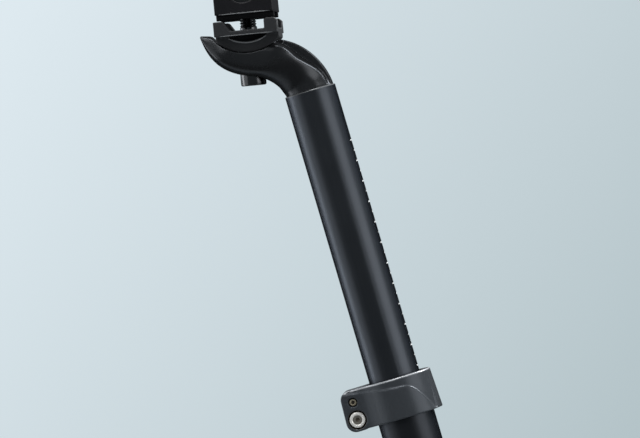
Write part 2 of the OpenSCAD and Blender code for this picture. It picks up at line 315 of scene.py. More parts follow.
GLOSS_BLACK = Finish(
    "gloss_black", (0.041, 0.043, 0.046), (0.047, 0.049, 0.052), 0.27, metal=0.87, spread=0.08,
    scale=900.0, bump=0.04, specular=0.05, edge=0.05)
MATTE_TUBE = Finish(
    "matte_tube", (0.048, 0.053, 0.061), (0.058, 0.064, 0.073), 0.36, metal=1.0, scale=2200.0,
    bump=0.2, edge=0.05)
OUTER_TUBE = Finish(
    "outer_tube", (0.034, 0.037, 0.042), (0.042, 0.046, 0.052), 0.42, metal=1.0, spread=0.12,
    scale=2200.0, bump=0.1, texture=Texture.BRUSHED, edge=0.05)
COLLAR_GREY = Finish(
    "collar_grey", (0.052, 0.057, 0.064), (0.064, 0.070, 0.078), 0.34, metal=0.5, spread=0.12,
    bump=0.16, specular=0.3, edge=0.05)
CRADLE_GREY = Finish(
    "cradle_grey", (0.016, 0.017, 0.019), (0.021, 0.022, 0.024), 0.5, spread=0.12, scale=1300.0,
    bump=0.16, specular=0.25)
SATIN_BLACK = Finish(
    "satin_black", (0.006, 0.006, 0.007), (0.008, 0.008, 0.010), 0.34, scale=1200.0, bump=0.08,
    specular=0.2)
BOLT_BLACK = Finish(
    "bolt_black", (0.06, 0.062, 0.066), (0.08, 0.082, 0.086), 0.2, metal=1.0, spread=0.05,
    texture=Texture.TURNED)
# Darker tones for the insides of hexagon sockets and the collar's counterbore: painted shade in the
# recesses.
SOCKET_SHADE = Finish("socket_painted_shade", (0.075, 0.062, 0.048), (0.10, 0.085, 0.066), 0.5, metal=0.6)
PLATED_SOCKET_SHADE = Finish("plated_socket_painted_shade", (0.27, 0.25, 0.22), (0.33, 0.31, 0.27), 0.3, metal=0.5)
# Lighter copy of the tube's tone for the rim chamfer: a painted highlight line.
RIM_HIGHLIGHT = Finish(
    "rim_painted_highlight", (0.11, 0.115, 0.12), (0.14, 0.145, 0.15), 0.38, metal=0.6, scale=1800.0,
    texture=Texture.TURNED, specular=0.2, edge=0.1)
BRIGHT_STEEL = Finish(
    "bright_steel", (0.72, 0.70, 0.67), (0.62, 0.60, 0.57), 0.26, metal=1.0, scale=1800.0,
    bump=0.06, texture=Texture.TURNED)
PLATED = Finish(
    "plated_steel", (0.80, 0.78, 0.74), (0.70, 0.68, 0.65), 0.32, metal=0.35, scale=1800.0,
    bump=0.06, texture=Texture.TURNED)
BARE_ALLOY = Finish(
    "bare_alloy", (0.60, 0.61, 0.62), (0.52, 0.53, 0.54), 0.34, metal=1.0, scale=1800.0, bump=0.1,
    texture=Texture.TURNED)
SPRING_STEEL = Finish(
    "spring_steel", (0.36, 0.37, 0.38), (0.28, 0.29, 0.30), 0.36, metal=1.0, scale=900.0)
BRASS = Finish("brass", (0.62, 0.46, 0.20), (0.52, 0.38, 0.16), 0.32, metal=1.0, scale=1200.0)
RUBBER = Finish("rubber", (0.016, 0.016, 0.017), (0.024, 0.024, 0.025), 0.7, scale=1600.0, bump=0.2)
ELASTOMER = Finish("elastomer", (0.045, 0.13, 0.24), (0.06, 0.15, 0.27), 0.6, scale=900.0, bump=0.1)
BUSH = Finish("bush", (0.055, 0.052, 0.045), (0.070, 0.066, 0.058), 0.55, scale=900.0)
# Lighter, coated tone for thin rims along the clamp's edges: painted highlight lines.
EDGE_HIGHLIGHT = Finish(
    "edge_painted_highlight", (0.16, 0.165, 0.17), (0.12, 0.125, 0.13), 0.34, coat=0.3, scale=1300.0)
LIP_SCREW = Finish(
    "lip_screw_steel", (0.66, 0.58, 0.42), (0.54, 0.47, 0.35), 0.34, metal=0.6,
    texture=Texture.TURNED)
PRINT_WHITE = Finish("print_white", (0.60, 0.61, 0.61), (0.52, 0.53, 0.53), 0.6, scale=1200.0)
PALE_FLOOR = Finish(
    "pale_floor", (0.50, 0.53, 0.55), (0.47, 0.50, 0.52), 0.8, scale=60.0, bump=0.02, specular=0.1)


def curve(points: Sequence[Point], t: float) -> Vector:
    """Point on a cubic curve with four control points."""
    weights = ((1 - t) ** 3, 3 * (1 - t) ** 2 * t, 3 * (1 - t) * t * t, t ** 3)
    return sum((w * Vector(p) for w, p in zip(weights, points)), Vector((0.0, 0.0)))


def ease(low: float, high: float, x: float) -> float:
    """Smooth blend from 0 at low to 1 at high."""
    k = min(1.0, max(0.0, (x - low) / (high - low)))
    return k * k * (3 - 2 * k)


def mix(a: float, b: float, k: float) -> float:
    """Straight blend from a to b."""
    return a + (b - a) * k


def evenly(half: float, count: int) -> List[float]:
    """Even steps from -half to half."""
    return [mix(-half, half, i / count) for i in range(count + 1)]


def turn(count: int) -> List[float]:
    """Angles of even steps around a full turn."""
    return [TURN * k / count for k in range(count)]


def oval(v: float, n: float) -> float:
    """Half width of a rounded section of squareness n at height v."""
    return max(0.0, 1 - abs(v) ** n) ** (1 / n)


def around(r: float, angle: float, z: float) -> Spot:
    """Point at a radius, an angle and a height."""
    return r * cos(angle), r * sin(angle), z


@dataclass(frozen=True)
class Change:
    """A size that changes smoothly from one value to another along a stretch."""

    first: float
    last: float
    start: float
    end: float

    def at(self, t: float) -> float:
        """Size at a place on the stretch."""
        return mix(self.first, self.last, ease(self.start, self.end, t))


def new_piece(name: str, data: bpy.types.ID) -> Obj:
    """Adds an object to the scene.

    Args:
        name: name of the object.
        data: its mesh, lamp or camera.

    Returns:
        The object.
    """
    obj = bpy.data.objects.new(name, data)
    bpy.context.scene.collection.objects.link(obj)
    return obj


def make(name: str, fill: Fill, place: Optional[Matrix] = None) -> Obj:
    """Makes a piece with its normals out.

    Args:
        name: name of the piece.
        fill: puts the shape into an empty mesh.
        place: frame in which the shape is given.

    Returns:
        The piece.
    """
    bm = bmesh.new()
    fill(bm)
    if place:
        bmesh.ops.transform(bm, matrix=place, verts=bm.verts)
    bmesh.ops.recalc_face_normals(bm, faces=bm.faces)
    mesh = bpy.data.meshes.new(name)
    bm.to_mesh(mesh)
    bm.free()
    return new_piece(name, mesh)


def edit(obj: Obj, change: Fill) -> None:
    """Changes the mesh of a piece.

    Args:
        obj: the piece.
        change: what is done to its mesh.
    """
    bm = bmesh.new()
    bm.from_mesh(obj.data)
    change(bm)
    bm.to_mesh(obj.data)
    bm.free()


def smooth(obj: Obj, degrees: float) -> None:
    """Shades a piece smooth but keeps edges above an angle sharp."""
    obj.data.shade_smooth()
    obj.data.set_sharp_from_angle(angle=radians(degrees))


def settle(obj: Obj) -> None:
    """Applies every modifier of a piece to its mesh.

    Args:
        obj: the piece.
    """
    graph = bpy.context.evaluated_depsgraph_get()
    graph.update()
    result = bpy.data.meshes.new_from_object(obj.evaluated_get(graph))
    obj.modifiers.clear()
    obj.data = result


def modify(obj: Obj, kind: str, **settings: object) -> None:
    """Adds a modifier to a piece.

    Args:
        obj: the piece.
        kind: type of the modifier.
        settings: properties of the modifier.
    """
    mod = obj.modifiers.new(kind.lower(), kind)
    for key, value in settings.items():
        setattr(mod, key, value)


def clean(bm: BMesh) -> None:
    """Joins the facets of flat faces.

    Args:
        bm: mesh of a CAD node.
    """
    bmesh.ops.remove_doubles(bm, verts=bm.verts, dist=WELD)
    bmesh.ops.dissolve_degenerate(bm, edges=bm.edges, dist=SLIVER)
    bmesh.ops.dissolve_limit(bm, angle_limit=FLAT, verts=bm.verts, edges=bm.edges)


def ease_edges(obj: Obj, width: float, degrees: float = 32.0) -> None:
    """Rounds the sharp edges of a piece and evens its shading.

    Args:
        obj: the piece.
        width: width of the rounding in millimetres.
        degrees: edges sharper than this are rounded.
    """
    edit(obj, clean)
    modify(obj, "BEVEL", width=width * MM, segments=3, limit_method="ANGLE",
           angle_limit=radians(degrees), use_clamp_overlap=True)
    settle(obj)
    smooth(obj, 50.0)
    modify(obj, "WEIGHTED_NORMAL", weight=70, keep_sharp=True)


def soften(obj: Obj, voxel: float, rounds: int) -> None:
    """Rebuilds a piece with an even skin and rounds its edges.

    Args:
        obj: the piece.
        voxel: size of the skin's cells in millimetres.
        rounds: smoothing rounds.
    """
    modify(obj, "REMESH", mode="VOXEL", voxel_size=voxel * MM, use_smooth_shade=True)
    modify(obj, "SMOOTH", factor=0.5, iterations=rounds)
    settle(obj)


def wear(obj: Obj, *finishes: Finish) -> None:
    """Gives a piece its finishes, the first one on every face.

    Args:
        obj: the piece.
        finishes: what its material slots hold.
    """
    obj.data.materials.clear()
    for finish in finishes:
        obj.data.materials.append(finish.material())


def carve(obj: Obj, cutters: Sequence[Obj]) -> None:
    """Cuts solids out of a piece and removes the cutters.

    Args:
        obj: the piece.
        cutters: solids that are taken away.
    """
    for cutter in cutters:
        modify(obj, "BOOLEAN", operation="DIFFERENCE", solver="EXACT", object=cutter)
    settle(obj)
    for cutter in cutters:
        bpy.data.objects.remove(cutter)


def lathe(bm: BMesh, profile: Sequence[Point], sides: int = 64) -> None:
    """Turns a profile in millimetres about Z into a closed solid.

    Args:
        bm: mesh that takes the solid.
        profile: radii and heights, from the axis to the axis.
        sides: facets around.
    """
    rows = [[bm.verts.new([c * MM for c in around(r, TURN * k / sides, z)])
             for k in range(sides if r > 0 else 1)] for r, z in profile]
    for low, high in zip(rows, rows[1:]):
        for k in range(sides):
            spots = ((low, k), (low, k + 1), (high, k + 1), (high, k))
            bm.faces.new(list(dict.fromkeys(row[i % len(row)] for row, i in spots)))


def loft(bm: BMesh, sections: Sequence[Sequence[Sequence[float]]],
         ring: bool = False) -> List[bmesh.types.BMVert]:
    """Joins closed sections into a tube.

    Args:
        bm: mesh that takes the tube.
        sections: sections in millimetres, all with the same number of points.
        ring: whether the last section joins the first; otherwise both ends are closed.

    Returns:
        The new vertices.
    """
    rows = [[bm.verts.new([c * MM for c in point]) for point in section] for section in sections]
    for low, high in zip(rows, rows[1:] + rows[:1] if ring else rows[1:]):
        for k in range(len(low)):
            b = (k + 1) % len(low)
            bm.faces.new((low[k], low[b], high[b], high[k]))
    if not ring:
        bm.faces.new(rows[0])
        bm.faces.new(rows[-1])
    return [vert for row in rows for vert in row]


def drum(radius: float, deep: float, place: Matrix, sides: int) -> Fill:
    """Shape of a cylinder in millimetres, standing in its own frame."""
    ends = {"radius1": radius * MM, "radius2": radius * MM, "depth": deep * MM, "matrix": place}
    return lambda bm: bmesh.ops.create_cone(bm, cap_ends=True, segments=sides, **ends)


def block(size: Spot, spot: Spot) -> Fill:
    """Shape of a box in millimetres around its middle."""
    place = Matrix.Translation(Vector(spot) * MM) @ Matrix.Diagonal((*[s * MM for s in size], 1))
    return lambda bm: bmesh.ops.create_cube(bm, size=1, matrix=place)


def fit(obj: Obj, body: str, node: Optional[str] = None) -> None:
    """Puts a piece on its body and hides the CAD node that it replaces, if any.

    Args:
        obj: the piece.
        body: body that the piece rides on.
        node: CAD node that the piece replaces.
    """
    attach(obj, body)
    if node:
        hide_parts(node)
    LOG.info("fitted %s on %s", obj.name, body)


def dress(node: str, finish: Finish) -> None:
    """Puts a finish on a CAD node that keeps its own mesh."""
    wear(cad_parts[node], finish)
    LOG.info("dressed %s in %s", node, finish.name)


def rework(node: str, kind: str, body: str, slot: str, finish: Finish,
           *steps: Callable[[Obj], None]) -> Obj:
    """Replaces a CAD node by a copy with better edges.

    Args:
        node: name of the CAD node.
        kind: what the copy's name ends with.
        body: body that the piece rides on.
        slot: material slot of the record; not used.
        finish: surface finish.
        steps: what is done to the copy.

    Returns:
        The new piece.
    """
    obj = new_piece(f"{node}_{kind}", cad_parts[node].data.copy())
    for step in steps:
        step(obj)
    wear(obj, finish)
    fit(obj, body, node)
    return obj


@dataclass(frozen=True)
class Screw:
    """A turned screw with a hexagon socket, in millimetres along its own Z."""

    node: str
    flats: float
    floor: float
    mouth: float
    profile: Path
    finish: Finish
    # The socket's walls and floor take a darker lining and its drilled tip a darker tone still:
    # painted shade in the socket.
    shaded_lining: Finish = SOCKET_SHADE
    tip_r: float = 0.45
    tip_deep: float = 0.2
    chamfer: float = 0.25
    chamfer_r: Point = (0.98, 1.16)
    shaded_lining_r: float = 1.02

    def build(self, place: Matrix) -> Obj:
        """Turns the screw and cuts its socket, with a drilled tip and a chamfered mouth.

        Args:
            place: where the screw's own frame sits.

        Returns:
            The screw, not yet on a body.
        """
        floor, mouth, corner = self.floor, self.mouth, self.flats / sqrt(3)
        out = copysign(1.0, mouth - floor)
        past, tip, top = mouth + out, corner * self.tip_r, floor + self.tip_deep * out
        deep, low = floor - self.tip_deep * self.flats * out, mouth - self.chamfer * out
        near, far = (corner * k for k in self.chamfer_r)
        tools = ((((0, floor), (corner, floor), (corner, past), (0, past)), 6),
                 (((0, deep), (tip, floor), (tip, top), (0, top)), 32),
                 (((0, low), (near, low), (far, mouth), (far, past), (0, past)), 48))
        screw = make(self.node + "_turned", lambda bm: lathe(bm, self.profile), place)
        carve(screw, [make("tool", lambda bm: lathe(bm, outline, sides), place)
                      for outline, sides in tools])
        smooth(screw, 30.0)
        # Faces inside the socket get the darker lining, the drilled tip the darker socket tone:
        # painted shade.
        wear(screw, self.finish, self.shaded_lining, SOCKET_SHADE)
        back, reach = place.inverted(), corner * self.shaded_lining_r
        for face in screw.data.polygons:
            spot = back @ face.center / MM
            rise, sunk = (spot.z - floor) * out, (mouth - spot.z) * out
            if hypot(spot.x, spot.y) < reach and rise > -self.flats and sunk > TOUCH:
                face.material_index = 2 if rise < -TOUCH else 1
        return screw


@dataclass
class HeadForging:
    """The forged head: bent neck, spine, cradle and horn, in millimetres from the tube's rim."""

    rim: float = 148.4
    spine: float = 6.0
    tip_half: float = 13.68
    cradle: Point = (-17.5, 45.9)
    cradle_cut: Point = (21.5, 80.0)
    seat_cut: Point = (28.5, 40.0)
    pocket: Point = (14.0, 7.0)
    pocket_floor: float = -32.0
    pocket_deep: Point = (14.0, 18.0)
    round_x: float = 6.0
    overlap: float = 0.1
    slot: Spot = (20.8, 8.8, 20.0)
    slot_mid: float = -28.0
    stub: Path = ((0, -6), (10.1, -6), (10.1, -0.8), (11.4, -0.8), (11.4, 0.35), (0, 0.35))
    lean: float = 11.0
    rings: int = 120
    points: Tuple[int, int] = (12, 9)
    corner_cuts: int = 3
    skin: Tuple[float, int] = (0.3, 9)
    squareness: Change = Change(2.0, 4.0, 0.15, 1.0)
    half_width: Change = Change(11.4, 19.0, 0.15, 1.0)
    to_tip: Change = Change(0.0, 1.0, 1.55, 2.05)
    shoulder: Change = Change(0.8, 0.5, 0.1, 0.65)
    to_cradle: Change = Change(0.0, 1.0, 0.6, 1.0)
    cradle_shoulder: float = 0.74
    step_in: Change = Change(0.55, 1.0, 0.0, 0.12)
    step_out: Change = Change(1.0, 0.0, 0.95, 1.1)
    spine_share: Change = Change(0.6, 1.0, 0.0, 0.45)
    spine_square: float = 6.0
    spine_foot: float = 0.2
    belly: Tuple[Path, ...] = (
        ((-11.4, 0), (-12.2, 3.6), (-16.5, 11), (-22.5, 13.3)),
        ((-22.5, 13.3), (-31.5, 16.2), (-41.6, 22), (-41.9, 37.4)))
    front: Tuple[Path, ...] = (
        ((11.4, 0), (11, 9.5), (5.2, 21.5), (-6, 26.7)),
        ((-6, 26.7), (-15, 31), (-29, 35.0), (-41.6, 38.7)))

    def half_section(self, t: float) -> List[Point]:
        """Half of a section as width and height, from the belly up to the front.

        Args:
            t: 0 at the rim, 2 at the tip of the horn.

        Returns:
            Points with their corners rounded.
        """
        n = self.squareness.at(t)
        s = mix(self.shoulder.at(t), self.cradle_shoulder, self.to_cradle.at(t))
        w = mix(self.half_width.at(t), self.tip_half, self.to_tip.at(t))
        step = self.step_in.at(t) * self.step_out.at(t)
        full = oval(s, n)
        spine = mix(full, min(full, self.spine * self.spine_share.at(t) / w), step)
        low, high = self.points
        points: List[Point] = []
        for i in range(low):
            v = sin(mix(-pi / 2, asin(s), i / (low - 1)))
            points.append((w * oval(v, n), v))
        for i in range(high):
            k = i / (high - 1)
            v = mix(s + self.spine_foot * (1 - s), 1, sin(pi / 2 * k))
            ridge = spine * oval(k, self.spine_square)
            points.append((w * ((1 - step) * oval(v, n) + step * ridge), v))
        points[-1] = (0.0, 1.0)
        for _ in range(self.corner_cuts):
            cut = [points[0]]
            for (ax, ay), (bx, by) in zip(points, points[1:]):
                cut += [(mix(ax, bx, k), mix(ay, by, k)) for k in (0.25, 0.75)]
            points = cut + [points[-1]]
        return points

    def section(self, t: float) -> List[Spot]:
        """One closed section of the head.

        Args:
            t: 0 at the rim, 2 at the tip of the horn.

        Returns:
            Points around the section, in millimetres.
        """
        part, u = (0, t) if t < 1 else (1, t - 1)
        low, high = curve(self.belly[part], u), curve(self.front[part], u)
        mid, reach = (low + high) / 2, (high - low) / 2
        half = self.half_section(t)
        sides = half + [(-w, v) for w, v in half[-2:0:-1]]
        return [(mid.x + reach.x * v, w, mid.y + reach.y * v + self.rim) for w, v in sides]

    def clamp_frame(self) -> Matrix:
        """Clamp frame: X along the rails, Z along the clamp bolt."""
        place = Vector((self.cradle[0], 0, self.rim + self.cradle[1])) * MM
        return Matrix.Translation(place) @ Matrix.Rotation(radians(self.lean), 4, "Y")

    def cutters(self) -> List[Obj]:
        """Makes the solids that cut the cradle, the bolt's slot and the washer's seat.

        Returns:
            The cutters in their order.
        """
        (long, wide), (upper, lower), floor = self.pocket, self.pocket_deep, self.pocket_floor
        lying, level = Matrix.Rotation(pi / 2, 4, "X"), floor + self.overlap - lower / 2
        end, reach = Matrix.Translation(Vector((self.round_x, 0, level)) * MM), long + self.round_x
        seat, cradle, pocket, *rest = [make("cutter", shape, self.clamp_frame()) for shape in (
            drum(*self.seat_cut, lying, 2 * ROUND),
            drum(*self.cradle_cut, lying, 2 * ROUND),
            block((2 * long, 2 * wide, upper), (0, 0, floor + upper / 2)),
            block((reach, 2 * wide, lower), (reach / 2 - long, 0, level)),
            drum(wide, lower, end, ROUND),
            block(self.slot, (0, 0, self.slot_mid)))]
        carve(pocket, [seat])
        return [cradle, pocket, *rest]

    def add_stub(self, bm: BMesh) -> None:
        """Adds the stub that sits in the tube."""
        lathe(bm, [(r, z + self.rim) for r, z in self.stub], ROUND)
        bmesh.ops.recalc_face_normals(bm, faces=bm.faces)

    def build(self) -> None:
        """Sweeps the head, cuts it and puts it in place of its CAD node."""
        last = self.rings - 1
        sections = [self.section(2 * i / last) for i in range(self.rings)]
        head = make("forged_head", lambda bm: loft(bm, sections))
        carve(head, self.cutters())
        edit(head, self.add_stub)
        soften(head, *self.skin)
        wear(head, GLOSS_BLACK)
        fit(head, "post", "seat_head")


@dataclass
class SlidingTube:
    """The visible tube with its printed scale."""

    radius: float = 12.2
    rim: float = 148.4
    top: float = 120.7
    low: float = 10.7
    pitch: float = 10.0
    widths: Point = (6.7, 3.8)
    line: float = 0.6
    lift: float = 0.02
    sunk: float = 0.05
    mark_steps: int = 14
    chamfer: Path = (
        (-0.75, -0.6), (-0.1, -0.6), (0.02, -0.5), (0.02, -0.32), (-0.3, 0.02), (-0.75, 0.02))

    def print_marks(self, bm: BMesh) -> None:
        """Prints each line as a thin curved bar on the tube's front.

        Args:
            bm: mesh that takes the bars.
        """
        outer, inner, up = self.radius + self.lift, self.radius - self.sunk, self.line / 2
        corners = ((inner, -up), (outer, -up), (outer, up), (inner, up))
        for i in range(int((self.top - self.low) / self.pitch * 2) + 1):
            height, half = self.top - i * self.pitch / 2, self.widths[i % 2] / 2 / self.radius
            loft(bm, [[around(r, a, height + z) for r, z in corners]
                      for a in evenly(half, self.mark_steps)])

    def build(self) -> None:
        """Dresses the tube, adds the chamfer ring around its rim in a lighter tone that paints a
        highlight line along it, and prints the scale.
        """
        dress("shaft_tube", MATTE_TUBE)
        sections = [[around(self.radius + r, a, self.rim + z) for r, z in self.chamfer]
                    for a in turn(ROUND)]
        ring = make("rim_chamfer", lambda bm: loft(bm, sections, ring=True))
        smooth(ring, 30.0)
        wear(ring, RIM_HIGHLIGHT)
        fit(ring, "post")
        scale = make("printed_scale", self.print_marks)
        wear(scale, PRINT_WHITE)
        fit(scale, "post")


@dataclass
class SaddleClamp:
    """Rocking cradle, upper clamp, nut, washer and bolt."""

    skin: Tuple[float, int] = (0.28, 4)
    washer_ease: float = 0.3
    nut_ease: float = 0.4
    thread: Point = (-9.0, 17.0)
    pitch: float = 1.25
    thread_sides: int = 36
    rows_per_pitch: int = 6
    bolt_r: float = 4.0
    bolt_slack: float = 0.02
    shank_end: Spot = (0.6, 0.5, 0.1)
    thread_deep: float = 0.55
    thread_flat: float = 1.25
    runout: Point = (1.2, 0.5)
    head: Path = (
        (0, -36.9), (5.3, -36.9), (5.8, -36.7), (6, -36.2), (6, -31.3), (5.8, -31.05))
    flats: float = 6.0
    socket: Point = (-33.4, -36.9)
    pocket_r: float = 16.75
    pocket_reach: float = asin(8.6 / 16.5)
    pocket_y: float = 17.5
    pocket_steps: int = 40
    wide: float = 28.25
    ledge: Point = (14.5, -13.05)
    lip: Point = (13.3, -3.05)
    edge_steps: int = 30
    rim_sides: int = 10
    rim_end: float = 0.4
    rim_taper: float = 6.0
    # Radii of the thin rims that carry the painted highlight lines.
    pocket_rim: float = 0.42
    ledge_rim: float = 0.25
    lip_rim: float = 0.28
    place: Matrix = field(default_factory=lambda: HeadForging().clamp_frame())

    def add_thread(self, bm: BMesh) -> None:
        """Adds the rolled thread to the clamp bolt.

        Args:
            bm: mesh of the bolt.
        """
        low, high = self.thread
        count = int((high - low) / self.pitch * self.rows_per_pitch)
        rows = []
        for i in range(count + 1):
            z = mix(low, high, i / count)
            ending = self.runout[1] * (1 - min(1.0, (high - z) / self.runout[0]))
            row = []
            for k, angle in enumerate(turn(self.thread_sides)):
                phase = (z / self.pitch - k / self.thread_sides) % 1.0
                groove = self.thread_deep * min(1.0, abs(2 * phase - 1) * self.thread_flat)
                row.append(around(self.bolt_r - self.bolt_slack - groove - ending, angle, z))
            rows.append(row)
        bmesh.ops.transform(bm, matrix=self.place, verts=loft(bm, rows))
        bmesh.ops.recalc_face_normals(bm, faces=bm.faces)

    def bolt(self) -> None:
        """Turns the clamp bolt with its socket and thread."""
        r, (before, inward, past) = self.bolt_r, self.shank_end
        start, end = self.thread[0] - before, self.thread[0] + past
        shank = ((r, self.head[-1][1]), (r, start), (r - inward, end), (0, end))
        screw = Screw("clamp_bolt", self.flats, *self.socket, self.head + shank, BOLT_BLACK)
        bolt = screw.build(self.place)
        edit(bolt, self.add_thread)
        smooth(bolt, 30.0)
        fit(bolt, "bolt", "clamp_bolt")

    def rim(self, path: Sequence[Vector], radius: float) -> List[List[Vector]]:
        """Sections of a thin round rim that tapers to its ends.

        Args:
            path: points in the clamp frame, in millimetres, all at one Y.
            radius: radius of the rim in millimetres.

        Returns:
            Points around each point of the path.
        """
        out, last = Vector((0, 1, 0)), len(path) - 1
        rows = []
        for i, point in enumerate(path):
            along = (path[min(i + 1, last)] - path[max(i - 1, 0)]).normalized()
            full = min(1.0, self.rim_taper * min(i, last - i) / last)
            thin, up = radius * mix(self.rim_end, 1.0, full), along.cross(out)
            rows.append([point + thin * (cos(a) * out + sin(a) * up)
                         for a in turn(self.rim_sides)])
        return rows

    def pocket(self, side: int) -> List[Vector]:
        """Lower edge of the rocker's pocket on one side."""
        r, turns = self.pocket_r, evenly(self.pocket_reach, self.pocket_steps)
        return [Vector((r * sin(a), side * self.pocket_y, -r * cos(a))) for a in turns]

    def edge(self, side: int, half: float, level: float) -> List[Vector]:
        """Straight edge of the clamp on one side."""
        return [Vector((x, side * self.wide, level)) for x in evenly(half, self.edge_steps)]

    def build(self) -> None:
        """Eases the clamp's edges, gives each part its finish and adds thin rims in a lighter tone
        that paint highlight lines along its edges.
        """
        for node, body, slot, finish in (("rocker", "cradle", "cradle_grey", CRADLE_GREY),
                                         ("upper_clamp", "jaw", "satin_black", SATIN_BLACK)):
            rework(node, "soft", body, slot, finish, lambda o: soften(o, *self.skin))
        rework("slot_washer", "eased", "cradle", "bare_alloy", BARE_ALLOY,
               lambda o: ease_edges(o, self.washer_ease))
        rework("barrel_nut", "eased", "jaw", "dark_steel", BOLT_BLACK,
               lambda o: ease_edges(o, self.nut_ease))
        self.bolt()
        # Thin rims along the pocket, ledge and lip edges, in a lighter tone: painted highlight lines.
        for name, body, slot, path, radius in (
                ("pocket_highlight_rims", "cradle", "cradle_grey", self.pocket, self.pocket_rim),
                ("ledge_highlight_rims", "cradle", "cradle_grey", lambda k: self.edge(k, *self.ledge),
                 self.ledge_rim),
                ("lip_highlight_rims", "jaw", "satin_black", lambda k: self.edge(k, *self.lip),
                 self.lip_rim)):
            tubes = [self.rim(path(side), radius) for side in (-1, 1)]
            rims = make(name, lambda bm: [loft(bm, tube) for tube in tubes], self.place)
            smooth(rims, 60.0)
            wear(rims, EDGE_HIGHLIGHT)
            fit(rims, body)


@dataclass
class Collar:
    """Split collar with its two screws."""

    skin: Tuple[float, int] = (0.35, 5)
    top: float = 8.2
    low: float = -11.0
    inner: float = 15.5
    outer: float = 17.1
    slit: float = 2.0
    near: float = 0.3
    flare: float = 0.9
    round_edge: float = 0.7
    sharp: float = 0.7
    # Painted highlight along the rounded top edge: its mask, its lighter tone, and the normal and
    # height ranges where it shows.
    highlight_mask: str = "worn_edge"
    highlight_tone: Colour = (0.42, 0.43, 0.45)
    highlight_up: Point = (0.05, 0.45)
    highlight_flat: Point = (0.9, 0.995)
    highlight_below: Point = (1.2, 0.7)
    drilled: Point = (-22.2, -6.05)
    drilled_r: float = 4.1
    counterbore: float = 4.4
    close: float = 0.1
    corner: Point = (4.6, 6.0)
    fuller: float = 0.45
    bolt: Point = (-21.9, -5.9)
    screw: Point = (-21.7, 2.5)
    bolt_shape: Path = (
        (0, -9), (2.5, -9), (2.5, 5.22), (3.6, 5.22), (3.75, 5.4), (3.75, 8.6), (3.65, 8.9),
        (3.45, 9.1), (3.15, 9.2), (0, 9.2))
    screw_shape: Path = (
        (0, -6.6), (1.03, -6.6), (1.03, 6.42), (1.7, 6.42), (1.7, 7.4), (1.6, 7.65), (1.45, 7.72),
        (0, 7.72))

    def moved(self, spot: Vector) -> Vector:
        """Moves the counterbore in, fills the corner around it and flares the lower front edge.

        Args:
            spot: a point of the collar in millimetres.

        Returns:
            Its new place.
        """
        x, y, z = spot
        off, r = Vector((x - self.drilled[0], 0, z - self.drilled[1])), hypot(x, y)
        if abs(off.length - self.drilled_r) < self.close and y < 0:
            return Vector((self.bolt[0], y, self.bolt[1])) + off.normalized() * self.counterbore
        if self.corner[0] < off.length < self.corner[1]:
            return spot + off.normalized() * self.fuller
        if x > 0 and r > self.outer - self.near and z < self.low + self.near:
            return spot + Vector((x, y, 0)) * (self.flare * (x / r) ** 2 / r)
        return spot

    def on_top_edge(self, edge: bmesh.types.BMEdge) -> bool:
        """Finds the edges around the outside of the top face.

        Args:
            edge: an edge of the collar.

        Returns:
            Whether it is one of them.
        """
        ends = [v.co / MM for v in edge.verts]
        mid = (ends[0] + ends[1]) / 2
        outside = hypot(mid.x, mid.y) > self.inner and abs(mid.y) > self.slit
        level = all(abs(end.z - self.top) < TOUCH for end in ends)
        return level and outside and edge.calc_face_angle(0.0) > self.sharp

    def shape(self, bm: BMesh) -> None:
        """Changes the collar's mesh before its skin is rebuilt.

        Args:
            bm: the collar's mesh.
        """
        bmesh.ops.remove_doubles(bm, verts=bm.verts, dist=WELD)
        bmesh.ops.dissolve_limit(bm, angle_limit=FLAT, verts=bm.verts, edges=bm.edges)
        for vert in bm.verts:
            vert.co = self.moved(vert.co / MM) * MM
        bmesh.ops.bevel(bm, geom=[edge for edge in bm.edges if self.on_top_edge(edge)],
                        offset=self.round_edge * MM, segments=4, profile=0.5, affect="EDGES",
                        clamp_overlap=False)

    def paint_highlight_and_shade(self, obj: Obj) -> None:
        """Paints a highlight along the rounded top edge and paints shade into the counterbore.

        Args:
            obj: the rounded collar.
        """
        # Faces of the counterbore get the dark socket tone: painted shade in the recess around the
        # bolt.
        obj.data.materials.append(SOCKET_SHADE.material())
        for face in obj.data.polygons:
            x, y, z = face.center / MM
            off = hypot(x - self.bolt[0], z - self.bolt[1])
            if y < 0 and off < self.counterbore + self.close:
                face.material_index = 1
        # A lighter tone is blended in along the rounded top edge by a mask from normals and height: a
        # painted highlight.
        highlight_mask = obj.data.attributes.new(self.highlight_mask, "FLOAT", "POINT")
        below, near = (self.top - depth for depth in self.highlight_below)
        for vert in obj.data.vertices:
            (x, y, z), rise = vert.co / MM, vert.normal.z
            lean = ease(*self.highlight_up, rise) * (1 - ease(*self.highlight_flat, rise))
            outside = hypot(x, y) > self.inner
            highlight_mask.data[vert.index].value = lean * ease(below, near, z) * outside
        n = Nodes(obj.data.materials[0].node_tree)
        highlight = n.add("Attribute", attribute_name=self.highlight_mask).outputs["Fac"]
        paint = n.skin().inputs["Base Color"].links[0].from_socket
        n.fill(n.skin(), {"Base Color": n.blend(highlight, paint, opaque(self.highlight_tone))})

    def build(self) -> None:
        """Rounds the collar and makes its screws."""
        self.paint_highlight_and_shade(rework("seat_collar", "soft", "collar", "collar_grey", COLLAR_GREY,
                            lambda o: edit(o, self.shape),
                            lambda o: soften(o, *self.skin)))
        dress("collar_nut", BRIGHT_STEEL)
        for screw, slot, (x, z) in (
                (Screw("collar_bolt", 4.0, 7.6, 9.2, self.bolt_shape, PLATED, PLATED_SOCKET_SHADE),
                 "bright_steel", self.bolt),
                (Screw("lip_screw", 1.5, 7.0, 7.72, self.screw_shape, LIP_SCREW), "dark_steel",
                 self.screw)):
            across = Matrix.Rotation(pi / 2, 4, "X")
            piece = screw.build(Matrix.Translation(Vector((x, 0, z)) * MM) @ across)
            fit(piece, "collar", screw.node)


